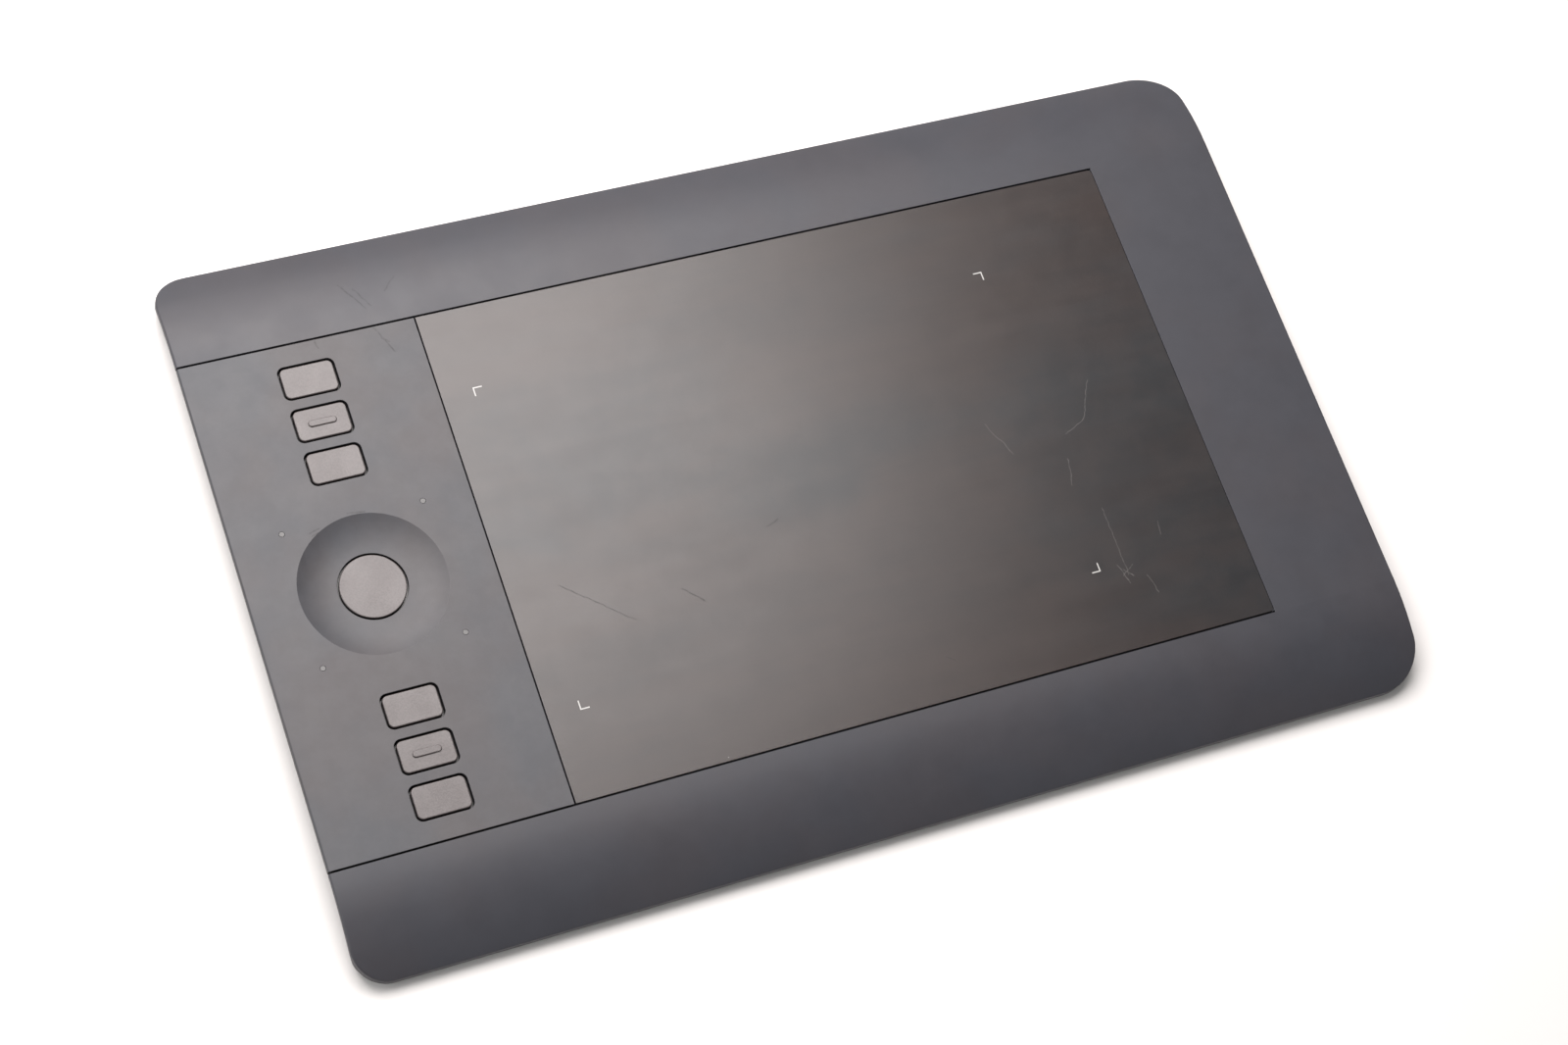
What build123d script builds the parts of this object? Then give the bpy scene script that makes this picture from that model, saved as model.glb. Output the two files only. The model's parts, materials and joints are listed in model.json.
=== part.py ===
from build123d import *
import math
import os

# A slim pen drawing tablet. Millimetres, +Z up. The origin is at the middle of the base, on the table;
# +X runs to the right, away from the keys, and +Y to the rear.

# ---- overall size ----
LENGTH = 320.0
DEPTH = 208.0
TOP_Z = 12.0
BASE_Z = 1.0
HALF_LENGTH = LENGTH / 2
HALF_DEPTH = DEPTH / 2

# ---- outer shape ----
LEFT_CORNER_R = 10.0
RIGHT_CORNER_R = 13.0
FLAT_HALF_DEPTH = 74.1
SLOPE_DROP = 7.9
EDGE_R = 0.6
END_UPRIGHT_Z = 10.0
END_UNDERCUT = 0.26
SPLIT_Z = 6.2
SPLIT_DROP = 4.3
WALL_TOP = 1.5
WALL_SIDE = 1.8
OVERLAP = 0.1
SWEEP_LOW_Z = -4.0
SWEEP_ANGLE = 36.0

# ---- top face layout ----
GROOVE = 0.6
PANEL_SEAM = 0.45
RIGHT_SEAM = 0.2
SEAM_X = -92.5
POCKET_RIGHT_X = 120.1
SHEET_THICKNESS = 0.5
SHEET_CORNER_R = 1.2
GROOVE_DEPTH = 1.1
ACTIVE_X = -4.6
ACTIVE_WIDTH = 157.0
ACTIVE_DEPTH = 98.0
MARK_ARM = 2.7
MARK_STROKE = 0.35
PANEL_THICKNESS = 1.6
PANEL_HALF_DEPTH = FLAT_HALF_DEPTH - GROOVE
PANEL_UNDER_Z = TOP_Z - PANEL_THICKNESS
PANEL_RIGHT_X = SEAM_X - PANEL_SEAM / 2
SHEET_LEFT_X = SEAM_X + PANEL_SEAM / 2
SHEET_RIGHT_X = POCKET_RIGHT_X - RIGHT_SEAM
DECK_TOP_Z = TOP_Z - SHEET_THICKNESS
DECK_UNDER_Z = TOP_Z - WALL_TOP
RIB_LEFT_X = -HALF_LENGTH + 3.0
RIB_WIDTH = 1.5
RIB_LOW_Z = 7.6
SHELF_WIDTH = 1.6
SHELF_LOW_Z = 9.2
SEAM_RIB_HALF_DEPTH = 70.0

# ---- keys and ring ----
CONTROL_X = -126.0
KEY_PITCH = 13.1
KEY_FIRST_Y = 36.0
KEY_SIZE = (14.9, 9.1)
KEY_HOLE = (16.2, 10.3)
KEY_CORNER_R = 1.6
KEY_HOLE_R = 2.1
KEY_EDGE_R = 0.3
KEY_COLLAR = (18.4, 12.6)
KEY_COLLAR_Z = 9.4
KEY_FLANGE = (17.4, 11.3)
KEY_FLANGE_HEIGHT = 0.6
KEY_STEM = (5.0, 3.0)
KEY_TRAVEL = 0.6
BAR_SIZE = (8.0, 2.0)
BAR_HEIGHT = 0.4
BAR_EDGE_R = 0.3
RING_R = 20.5
RING_RIM_SLOPE = 22.0
RING_LEVEL_R = 8.5
RING_HOLE_R = 9.65
RING_FLAT_R = 14.5
RING_OUTER_R = 21.8
RING_UNDER_Z = 8.4
RING_BOARD_R = (11.6, 21.5)
RING_BOARD_THICKNESS = 0.8
BUTTON_R = 9.15
BUTTON_TOP_Z = 9.85
BUTTON_FLANGE_R = 10.6
BUTTON_FLANGE_Z = (7.7, 8.3)
BUTTON_TRAVEL = 0.5
LIGHT_OFFSET = 19.75
LIGHT_HOLE_R = 0.8
LIGHT_R = 0.78
LIGHT_DOME_R = 0.12
LIGHT_LOW_Z = 8.0
FIT = 0.05

# ---- boards and what is on them ----
KEY_BOARD = (-155.8, -98.0, -73.0, 73.0)
KEY_BOARD_Z = (5.6, 6.6)
MAIN_BOARD = (-85.0, 60.0, -38.0, -2.0)
MAIN_BOARD_Z = (5.0, 6.0)
SENSOR_BOARD = (-90.0, 117.0, -72.0, 72.0)
TOUCH_SHEET_Z = (10.2, 10.5)
SENSOR_BOARD_Z = (9.2, 10.2)
SHIELD_Z = (8.8, 9.1)
SWITCH_TOP_Z = 7.6
RING_SWITCH_TOP_Z = 7.1
SWITCH_CASE = 5.2
SWITCH_PLUNGER_R = 1.2
BOARD_SCREW_R = 0.8
BOARD_SCREW_HEAD_R = 1.8
BOARD_SCREW_HEAD = 0.8
BOARD_SCREW_DEPTH = 2.0
BOARD_POST_R = 2.2
KEY_BOARD_SCREWS = ((-103.0, 60.0), (-103.0, -60.0), (-148.0, 42.0), (-148.0, -56.0))
CABLE_WIDTH = 10.0
CABLE_THICKNESS = 0.15
SENSOR_CABLE_X = -20.0

# ---- left end: socket, power button, touch switch ----
LEFT_WALL_X = -HALF_LENGTH + 2.1
USB_Y = 66.0
USB_SHELL = (6.4, 7.5, 2.6)
USB_WALL = 0.3
USB_INSET = 1.2
POWER_Y = 50.0
POWER_Z = 8.9
POWER_TRAVEL = 0.4
POWER_CAP = (7.0, 2.4)
POWER_CORNER_R = 0.9
POWER_CLEARANCE = 0.2
SLOT = (5.0, 1.6)
SOCKET_TOP_Z = 9.8
SOCKET_CLEARANCE = 0.35
TOUCH_Y = -37.0
TOUCH_TRAVEL = 2.0

# ---- bottom case ----
BOTTOM_FLOOR_Z = 2.5
BOTTOM_INSET = 1.4
BOTTOM_WALL = 1.6
BASE_HALF_LENGTH = 150.0
BASE_HALF_DEPTH = 97.5
SCREW_PLACES = ((-148.0, 84.0), (-40.0, 84.0), (45.0, 84.0), (146.0, 84.0), (139.0, 28.0))
SCREW_R = 1.0
SCREW_HEAD_R = 2.0
BOSS_SPLIT_Z = 6.0
UPPER_BOSS_R = 2.6
LOWER_BOSS_R = 3.2
SCREW_DEPTH = 2.4
SCREW_HEAD_Z = (2.2, 3.4)
FOOT_SIZE = (50.0, 7.0)
FOOT_PLACE = (95.0, 88.0)
FOOT_RECESS = 0.4
LABEL = (-45.0, -20.0, 72.0, 22.0)
LABEL_RECESS = 0.2
COVER_THICKNESS = 1.3
COVER_GAP = 0.25
COVER_LIP = 3.0
TRAY_ROOF_Z = (7.2, 8.2)
TRAY_WALL = 1.2
TRAY_LEDGE_TOP_Z = 3.6
BATTERY_BAY = (-20.0, 30.0, 58.0, 44.0)
MODULE_BAY = (70.0, 30.0, 44.0, 44.0)


# ---- directions ----
TO_FRONT = (0, -1, 0)
TO_RIGHT = (1, 0, 0)


# ---- helpers ----
def block(x0, x1, y0, y1, z0, z1):
    """A box between two corners."""
    centre = ((x0 + x1) / 2, (y0 + y1) / 2, (z0 + z1) / 2)
    return Pos(*centre) * Box(x1 - x0, y1 - y0, z1 - z0)


def plate(x, y, size, z0, z1, corner_r=0.0):
    """A flat rectangular piece centred on x, y, with rounded corners where a radius is given."""
    outline = RectangleRounded(*size, corner_r) if corner_r else Rectangle(*size)
    return Pos(x, y, z0) * extrude(outline, z1 - z0)


def rod(x, y, radius, z0, z1):
    """An upright round piece."""
    return Pos(x, y, z0) * extrude(Circle(radius), z1 - z0)


def joined(pieces):
    """The union of a list of touching shapes."""
    result = pieces[0]
    for piece in pieces[1:]:
        result = result + piece
    return result


def corner_signs():
    return [(sx, sy) for sx in (-1, 1) for sy in (-1, 1)]


def mirrored_places(places):
    """Each place and its mirror image in the front half."""
    return [(x, sign * y) for x, y in places for sign in (-1, 1)]


def arc_radius(run, drop):
    """Radius of the arc that leaves a level line and has fallen by drop after run."""
    return (run * run + drop * drop) / (2 * drop)


SLOPE_R = arc_radius(HALF_DEPTH - FLAT_HALF_DEPTH, SLOPE_DROP)
SPLIT_R = arc_radius(HALF_DEPTH - FLAT_HALF_DEPTH, SPLIT_DROP)


def curve_height(y, level, radius):
    """Height of a cross curve that is level over the middle and falls along an arc beyond it."""
    beyond = max(0.0, abs(y) - FLAT_HALF_DEPTH)
    return level - radius + math.sqrt(radius ** 2 - beyond ** 2)


def split_height(y):
    """Height of the joint between the two shells."""
    return curve_height(y, SPLIT_Z, SPLIT_R)


def ceiling_height(y):
    """Height of the inside of the top shell."""
    return curve_height(y, TOP_Z, SLOPE_R) - WALL_TOP


# ---- outer surfaces ----
def plan_prism(inset, z0, z1):
    """The outline seen from above, moved in by inset and made solid between two heights."""
    outline = Rectangle(LENGTH - 2 * inset, DEPTH - 2 * inset)
    outline = fillet(outline.vertices().sort_by(Axis.X)[:2], LEFT_CORNER_R - inset)
    outline = fillet(outline.vertices().sort_by(Axis.X)[-2:], RIGHT_CORNER_R - inset)
    return Pos(0, 0, z0) * extrude(outline, z1 - z0)


def end_section(inset):
    """X-Z section of the top shell: level top, short upright ends, and an undercut below them."""
    end = HALF_LENGTH - inset
    low_end = end - END_UNDERCUT * (END_UPRIGHT_Z - SWEEP_LOW_Z)
    points = [(end, TOP_Z - inset), (end, END_UPRIGHT_Z), (low_end, SWEEP_LOW_Z)]
    mirrored = [(-x, z) for x, z in reversed(points)]
    return make_face(Plane.XZ * Polyline(*points, *mirrored, close=True))


def swept_top(inset):
    """The end section carried level over the middle and down an arc to the front and the rear."""
    section = end_section(inset)
    middle = Pos(0, FLAT_HALF_DEPTH, 0) * extrude(section, 2 * FLAT_HALF_DEPTH, dir=TO_FRONT)
    pieces = [middle]
    for side in (-1, 1):
        axis = Axis((0, side * FLAT_HALF_DEPTH, TOP_Z - SLOPE_R), (-side, 0, 0))
        edge_section = Pos(0, side * FLAT_HALF_DEPTH, 0) * section
        pieces.append(revolve(edge_section, axis, SWEEP_ANGLE))
    return joined(pieces)


def below_split():
    """Everything under the joint between the shells, wide enough to cut with."""
    reach = HALF_DEPTH + 6
    half = (reach + FLAT_HALF_DEPTH) / 2
    low = (reach, SWEEP_LOW_Z - 6)
    rear = ThreePointArc(
        (FLAT_HALF_DEPTH, SPLIT_Z), (half, split_height(half)), (reach, split_height(reach)))
    front = ThreePointArc(
        (-reach, split_height(reach)), (-half, split_height(half)), (-FLAT_HALF_DEPTH, SPLIT_Z))
    level = Line((-FLAT_HALF_DEPTH, SPLIT_Z), (FLAT_HALF_DEPTH, SPLIT_Z))
    under = Polyline((reach, split_height(reach)), low, (-low[0], low[1]), (-reach, split_height(reach)))
    face = make_face(Plane.YZ * (front + level + rear + under))
    return Pos(-HALF_LENGTH - 10, 0, 0) * extrude(face, LENGTH + 20, dir=TO_RIGHT)


def outer_top():
    """The outside of the top shell with its rim rounded, still solid."""
    body = swept_top(0) & plan_prism(0, SWEEP_LOW_Z, TOP_Z + 1)
    top_edges = body.faces().filter_by(lambda face: face.normal_at(face.center()).Z > 0.9).edges()
    wall_edges = body.faces().filter_by(lambda face: abs(face.normal_at(face.center()).Z) < 0.1).edges()
    rim = [edge for edge in top_edges if any(edge.is_same(other) for other in wall_edges)]
    return fillet(rim, EDGE_R)


# ---- shells ----
def pocket_face():
    """Outline of the recess for the sheet, with its two right corners rounded."""
    outline = Rectangle(POCKET_RIGHT_X - SEAM_X, 2 * FLAT_HALF_DEPTH)
    corners = outline.vertices().sort_by(Axis.X)[-2:]
    return Pos((POCKET_RIGHT_X + SEAM_X) / 2, 0) * fillet(corners, SHEET_CORNER_R + RIGHT_SEAM)


def make_top_case():
    """U-shaped shell: rear, right and front bezels round a thin deck, open at the left for the panel."""
    hollow = swept_top(WALL_TOP) & plan_prism(WALL_SIDE, SWEEP_LOW_Z, TOP_Z)
    case = outer_top() - hollow - below_split()
    case -= Pos(0, 0, DECK_TOP_Z) * extrude(pocket_face(), SHEET_THICKNESS + 1)
    case -= block(-HALF_LENGTH - 1, SHEET_LEFT_X, -FLAT_HALF_DEPTH, FLAT_HALF_DEPTH, 0, TOP_Z + 1)
    ribs = []
    for side in (-1, 1):
        rib = sorted((side * FLAT_HALF_DEPTH, side * (FLAT_HALF_DEPTH + RIB_WIDTH)))
        ribs.append(block(RIB_LEFT_X, POCKET_RIGHT_X, *rib, RIB_LOW_Z, DECK_UNDER_Z + OVERLAP))
        groove = sorted((side * PANEL_HALF_DEPTH, side * FLAT_HALF_DEPTH))
        case -= block(SEAM_X, POCKET_RIGHT_X, *groove, TOP_Z - GROOVE_DEPTH, TOP_Z)
        shelf = sorted((side * (FLAT_HALF_DEPTH - SHELF_WIDTH), side * (FLAT_HALF_DEPTH + OVERLAP)))
        ribs.append(block(RIB_LEFT_X, SEAM_X, *shelf, SHELF_LOW_Z, PANEL_UNDER_Z))
    seam_rib = (-SEAM_RIB_HALF_DEPTH, SEAM_RIB_HALF_DEPTH)
    web_x = (SEAM_X + 0.4, SEAM_X + 1.4)
    ribs.append(block(SEAM_X - 2.0, web_x[1], *seam_rib, SHELF_LOW_Z, PANEL_UNDER_Z))
    ribs.append(block(*web_x, *seam_rib, PANEL_UNDER_Z, DECK_UNDER_Z + OVERLAP))
    for x, y in mirrored_places(SCREW_PLACES):
        ribs.append(rod(x, y, UPPER_BOSS_R, BOSS_SPLIT_Z, ceiling_height(y) + 0.4))
    case = joined([case] + ribs)
    for x, y in mirrored_places(SCREW_PLACES):
        case -= rod(x, y, SCREW_R, BOSS_SPLIT_Z, BOSS_SPLIT_Z + SCREW_DEPTH + 0.2)
    return case


def key_places():
    """Centre of each key, from the rear one to the front one."""
    steps = [KEY_FIRST_Y + KEY_PITCH * index for index in (2, 1, 0)]
    return [(CONTROL_X, y) for y in steps + [-y for y in reversed(steps)]]


def light_places():
    return [(CONTROL_X + sx * LIGHT_OFFSET, sy * LIGHT_OFFSET) for sx, sy in corner_signs()]


def dish_curve():
    """Radius and height of three points on the dish: its rim, its middle and the button's hole."""
    rim_slope = math.radians(RING_RIM_SLOPE)
    bowl_r = (RING_R - RING_LEVEL_R) / math.sin(rim_slope)
    centre_z = TOP_Z + bowl_r * math.cos(rim_slope)
    radii = (RING_R, (RING_R + RING_HOLE_R) / 2, RING_HOLE_R)
    return [(r, centre_z - math.sqrt(bowl_r ** 2 - (r - RING_LEVEL_R) ** 2)) for r in radii]


def turned(outline):
    """The ring swept by an X-Z outline about the button's axis."""
    return Pos(CONTROL_X, 0, 0) * revolve(make_face(Plane.XZ * outline), Axis.Z)


def make_key_panel():
    """Panel with the touch ring's dish moulded in; its left edge turns down into the end wall."""
    cover = block(-HALF_LENGTH, PANEL_RIGHT_X, -PANEL_HALF_DEPTH, PANEL_HALF_DEPTH, PANEL_UNDER_Z, TOP_Z)
    cover += block(-HALF_LENGTH, LEFT_WALL_X, -PANEL_HALF_DEPTH, PANEL_HALF_DEPTH, SPLIT_Z, TOP_Z)
    cover &= Pos(0, HALF_DEPTH, 0) * extrude(end_section(0), DEPTH, dir=TO_FRONT)
    edge = cover.edges().filter_by(Axis.Y).group_by(Axis.Z)[-1].sort_by(Axis.X)[0]
    panel = fillet(edge, EDGE_R)
    for x, y in key_places():
        panel += plate(x, y, KEY_COLLAR, KEY_COLLAR_Z, PANEL_UNDER_Z, KEY_HOLE_R)
        panel -= plate(x, y, KEY_HOLE, KEY_COLLAR_Z, TOP_Z, KEY_HOLE_R)
    for x, y in light_places():
        panel -= rod(x, y, LIGHT_HOLE_R, PANEL_UNDER_Z, TOP_Z)
    for x, y in KEY_BOARD_SCREWS:
        panel += rod(x, y, BOARD_POST_R, KEY_BOARD_Z[1], PANEL_UNDER_Z)
        panel -= rod(x, y, BOARD_SCREW_R, KEY_BOARD_Z[1], KEY_BOARD_Z[1] + BOARD_SCREW_DEPTH + 0.4)
    rim, middle, lip = dish_curve()
    dish = ThreePointArc(rim, middle, lip)
    under = Polyline(
        lip, (RING_HOLE_R, RING_UNDER_Z), (RING_FLAT_R, RING_UNDER_Z), (RING_OUTER_R, PANEL_UNDER_Z),
        (RING_OUTER_R, TOP_Z), rim)
    panel -= rod(CONTROL_X, 0, RING_OUTER_R, PANEL_UNDER_Z, TOP_Z)
    panel += turned(dish + under)
    return panel - left_end_openings()


def end_opening(y, width, z0, z1):
    """A cutter through the left end wall, centred on y."""
    return block(-HALF_LENGTH - 1, LEFT_WALL_X, y - width / 2, y + width / 2, z0, z1)


def left_end_openings():
    """Openings in the end wall for the socket, the power button and the touch switch."""
    button_width, button_height = (side + 2 * POWER_CLEARANCE for side in POWER_CAP)
    slot_width, slot_height = SLOT
    return [
        end_opening(USB_Y, USB_SHELL[1] + 2 * SOCKET_CLEARANCE, 0, SOCKET_TOP_Z),
        end_opening(POWER_Y, button_width, POWER_Z - button_height / 2, POWER_Z + button_height / 2),
        end_opening(
            TOUCH_Y - TOUCH_TRAVEL / 2, slot_width, POWER_Z - slot_height / 2, POWER_Z + slot_height / 2)]


def slanted_sides(half_length, half_depth, base_half_length, base_half_depth, base_z):
    """A block whose four sides slope in towards a smaller base."""
    long_side = Polyline(
        (-half_length, SPLIT_Z), (-base_half_length, base_z), (base_half_length, base_z),
        (half_length, SPLIT_Z), close=True)
    rim_z = split_height(half_depth)
    cross_side = Polyline(
        (-half_depth, SPLIT_Z), (-half_depth, rim_z - 0.3), (-base_half_depth, base_z),
        (base_half_depth, base_z), (half_depth, rim_z - 0.3), (half_depth, SPLIT_Z), close=True)
    along_y = Pos(0, HALF_DEPTH, 0) * extrude(make_face(Plane.XZ * long_side), DEPTH, dir=TO_FRONT)
    along_x = Pos(-HALF_LENGTH, 0, 0) * extrude(make_face(Plane.YZ * cross_side), LENGTH, dir=TO_RIGHT)
    return along_y & along_x


def bay_size(bay, margin):
    return (bay[2] + 2 * margin, bay[3] + 2 * margin)


def leg_places(bay):
    """Places of a cover's four legs, two on each long side."""
    x, y, length, depth = bay
    return [(x + sx * length / 4, y + sy * (depth / 2 + COVER_LIP / 2)) for sx, sy in corner_signs()]


def make_bottom_case():
    """Tray with sloping sides, two bays open underneath, screw posts and board posts."""
    outer = slanted_sides(
        HALF_LENGTH - BOTTOM_INSET, HALF_DEPTH - BOTTOM_INSET, BASE_HALF_LENGTH, BASE_HALF_DEPTH, BASE_Z)
    case = outer & plan_prism(BOTTOM_INSET, BASE_Z, SPLIT_Z) & below_split()
    inner_half = HALF_LENGTH - BOTTOM_INSET - BOTTOM_WALL
    inner = slanted_sides(inner_half, HALF_DEPTH - 9.0, BASE_HALF_LENGTH - 0.6, 94.0, BOTTOM_FLOOR_Z)
    case -= inner
    for bay in (BATTERY_BAY, MODULE_BAY):
        case += plate(*bay[:2], bay_size(bay, COVER_LIP + 1.5), BASE_Z, TRAY_LEDGE_TOP_Z)
        case += plate(*bay[:2], bay_size(bay, TRAY_WALL), BASE_Z, TRAY_ROOF_Z[1])
        case -= plate(*bay[:2], bay_size(bay, 0), BASE_Z, TRAY_ROOF_Z[0])
        recess = bay_size(bay, COVER_LIP)
        case -= plate(*bay[:2], recess, BASE_Z, BASE_Z + COVER_THICKNESS + FIT, 2.0)
        for x, y in leg_places(bay):
            case -= plate(x, y, (6.8, 1.8), BASE_Z, TRAY_LEDGE_TOP_Z)
        contact_x, wall_y = bay[0], bay[1] - bay[3] / 2
        case -= block(
            contact_x - 6.3, contact_x + 6.3, wall_y - TRAY_WALL, wall_y, TRAY_LEDGE_TOP_Z, MAIN_BOARD_Z[0])
    for x, y in mirrored_places(SCREW_PLACES):
        case += rod(x, y, LOWER_BOSS_R, BASE_Z, BOSS_SPLIT_Z)
        case -= rod(x, y, SCREW_HEAD_R + 0.2, BASE_Z, SCREW_HEAD_Z[1])
        case -= rod(x, y, SCREW_R + 0.15, BASE_Z, BOSS_SPLIT_Z)
    for x, y in main_board_screws():
        case += rod(x, y, BOARD_POST_R, BASE_Z, MAIN_BOARD_Z[0])
        case -= rod(x, y, BOARD_SCREW_R, BOTTOM_FLOOR_Z, MAIN_BOARD_Z[0])
    for x, y in foot_places():
        case -= plate(x, y, FOOT_SIZE, BASE_Z, BASE_Z + FOOT_RECESS, FOOT_SIZE[1] / 2 - 0.01)
    x, y, width, depth = LABEL
    case -= plate(x, y, (width + 0.4, depth + 0.4), BASE_Z, BASE_Z + LABEL_RECESS, 2.2)
    return case


# ---- top face pieces ----
def mark_places():
    """Corner of each L-shaped mark, with the directions in which its arms run."""
    half_width, half_depth = ACTIVE_WIDTH / 2, ACTIVE_DEPTH / 2
    return [(ACTIVE_X + sx * half_width, sy * half_depth, -sx, -sy) for sx, sy in corner_signs()]


def corner_mark(x, y, along_x, along_y):
    """One L-shaped light guide, as thick as the sheet."""
    arm_x = sorted((x, x + along_x * MARK_ARM))
    arm_y = sorted((y, y + along_y * MARK_ARM))
    stroke_x = sorted((x, x + along_x * MARK_STROKE))
    stroke_y = sorted((y, y + along_y * MARK_STROKE))
    return block(*arm_x, *stroke_y, DECK_TOP_Z, TOP_Z) + block(*stroke_x, *arm_y, DECK_TOP_Z, TOP_Z)


def make_drawing_surface():
    outline = Rectangle(SHEET_RIGHT_X - SHEET_LEFT_X, 2 * PANEL_HALF_DEPTH)
    corners = outline.vertices().sort_by(Axis.X)[-2:]
    outline = Pos((SHEET_RIGHT_X + SHEET_LEFT_X) / 2, 0) * fillet(corners, SHEET_CORNER_R)
    sheet = Pos(0, 0, DECK_TOP_Z) * extrude(outline, SHEET_THICKNESS)
    for place in mark_places():
        sheet -= corner_mark(*place)
    return sheet


def make_corner_lights():
    return [corner_mark(*place) for place in mark_places()]


def make_ring_button():
    """Round button in the middle of the dish, with a retaining flange below it."""
    cap = rod(CONTROL_X, 0, BUTTON_R, BUTTON_FLANGE_Z[0], BUTTON_TOP_Z)
    cap = fillet(cap.edges().group_by(Axis.Z)[-1], KEY_EDGE_R)
    return cap + rod(CONTROL_X, 0, BUTTON_FLANGE_R, *BUTTON_FLANGE_Z)


def make_key(index):
    """Press key: cap, retaining flange and stem; the middle key of each three has a raised bar."""
    x, y = key_places()[index]
    flange_top = KEY_COLLAR_Z - 2 * FIT
    flange_low = flange_top - KEY_FLANGE_HEIGHT
    cap = plate(x, y, KEY_SIZE, flange_top, TOP_Z, KEY_CORNER_R)
    cap = fillet(cap.edges().group_by(Axis.Z)[-1], KEY_EDGE_R)
    key = cap + plate(x, y, KEY_FLANGE, flange_low, flange_top, KEY_HOLE_R)
    key += plate(x, y, KEY_STEM, SWITCH_TOP_Z + KEY_TRAVEL + 2 * FIT, flange_low, 0.5)
    if index in (1, 4):
        bar = plate(x, y, BAR_SIZE, TOP_Z - 0.2, TOP_Z + BAR_HEIGHT, BAR_SIZE[1] / 2 - FIT)
        key += fillet(bar.edges().group_by(Axis.Z)[-1], BAR_EDGE_R)
    return key


def make_ring_lights():
    """Four light pipes that end in small domed lenses."""
    pins = [rod(x, y, LIGHT_R, LIGHT_LOW_Z, TOP_Z) for x, y in light_places()]
    return [fillet(pin.edges().group_by(Axis.Z)[-1], LIGHT_DOME_R) for pin in pins]


# ---- boards and their parts ----
def board(limits, heights, screws=()):
    """A circuit board with its screw holes."""
    result = block(*limits, *heights)
    for x, y in screws:
        result -= rod(x, y, BOARD_SCREW_R, *heights)
    return result


def main_board_screws():
    x0, x1, y0, y1 = MAIN_BOARD
    return [(x, y) for x in (x0 + 4, x1 - 4) for y in (y0 + 4, y1 - 4)]


def make_key_board():
    return board(KEY_BOARD, KEY_BOARD_Z, KEY_BOARD_SCREWS)


def make_key_switches():
    """Low switches under the keys and the ring button, each a square case with a round plunger."""
    base = KEY_BOARD_Z[1]
    tops = [(place, SWITCH_TOP_Z) for place in key_places()] + [((CONTROL_X, 0), RING_SWITCH_TOP_Z)]
    pieces = []
    for (x, y), top in tops:
        shoulder = base + 0.7 * (top - base)
        case = plate(x, y, (SWITCH_CASE, SWITCH_CASE), base, shoulder, 0.4)
        pieces.append(case + rod(x, y, SWITCH_PLUNGER_R, shoulder, top))
    return pieces


def make_indicator_leds():
    top = KEY_BOARD_Z[1]
    return [plate(x, y, (1.6, 0.8), top, top + 0.6) for x, y in light_places()]


def make_ring_sensor_board():
    """Flat ring under the dish that senses the finger."""
    heights = (RING_UNDER_Z - RING_BOARD_THICKNESS, RING_UNDER_Z)
    inner_r, outer_r = RING_BOARD_R
    return rod(CONTROL_X, 0, outer_r, *heights) - rod(CONTROL_X, 0, inner_r, *heights)


def make_touch_sensor_sheet():
    return board(SENSOR_BOARD, TOUCH_SHEET_Z)


def make_sensor_board():
    return board(SENSOR_BOARD, SENSOR_BOARD_Z)


def make_shield_plate():
    """Thin steel plate with a notch for the flat cable."""
    x0, x1, y0, y1 = SENSOR_BOARD
    shield = block(x0 + 2, x1 - 2, y0 + 2, y1 - 2, *SHIELD_Z)
    half = CABLE_WIDTH / 2 + 3
    return shield - block(SENSOR_CABLE_X - half, SENSOR_CABLE_X + half, y0, y0 + 10, *SHIELD_Z)


def make_main_board():
    return board(MAIN_BOARD, MAIN_BOARD_Z, main_board_screws())


def make_board_chips():
    """Controller, radio and power parts on top of the main board."""
    top = MAIN_BOARD_Z[1]
    chips = (
        (-62, -16, 10, 10, 1.2), (-44, -12, 7, 7, 1.0), (-44, -26, 5, 6, 0.9), (-2, -26, 8, 6, 1.0),
        (12, -14, 12, 9, 1.6), (30, -24, 6, 6, 0.9), (42, -12, 5, 4, 1.0), (-72, -28, 4, 3, 1.2))
    pieces = [plate(x, y, (width, depth), top, top + height) for x, y, width, depth, height in chips]
    for index in range(10):
        pieces.append(plate(-54 + 9 * index, -33, (1.6, 0.8), top, top + 0.6))
    return pieces


def make_cable_connectors():
    """Flat cable sockets, and the pillar that joins the ring board to the key board."""
    half = CABLE_WIDTH / 2 + 1
    key_top, main_top, sensor_under = KEY_BOARD_Z[1], MAIN_BOARD_Z[1], SENSOR_BOARD_Z[0]
    cable_y = (MAIN_BOARD[2] + MAIN_BOARD[3]) / 2
    key_end, main_end = KEY_BOARD[1], MAIN_BOARD[0]
    ring_under = RING_UNDER_Z - RING_BOARD_THICKNESS
    return [
        block(key_end - 4, key_end, cable_y - half, cable_y + half, key_top, key_top + 1.2),
        block(main_end, main_end + 4, cable_y - half, cable_y + half, main_top, main_top + 1.2),
        block(SENSOR_CABLE_X - half, SENSOR_CABLE_X + half, *sensor_socket_span(), 8.0, sensor_under),
        block(SENSOR_CABLE_X - half, SENSOR_CABLE_X + half, -36, -33.6, main_top, main_top + 1.2),
        block(CONTROL_X - 4, CONTROL_X + 4, -18, -15, key_top, ring_under)]


def sensor_socket_span():
    """Where the pen sensor's cable socket lies along Y."""
    return (SENSOR_BOARD[2] + 1, SENSOR_BOARD[2] + 5)


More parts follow.
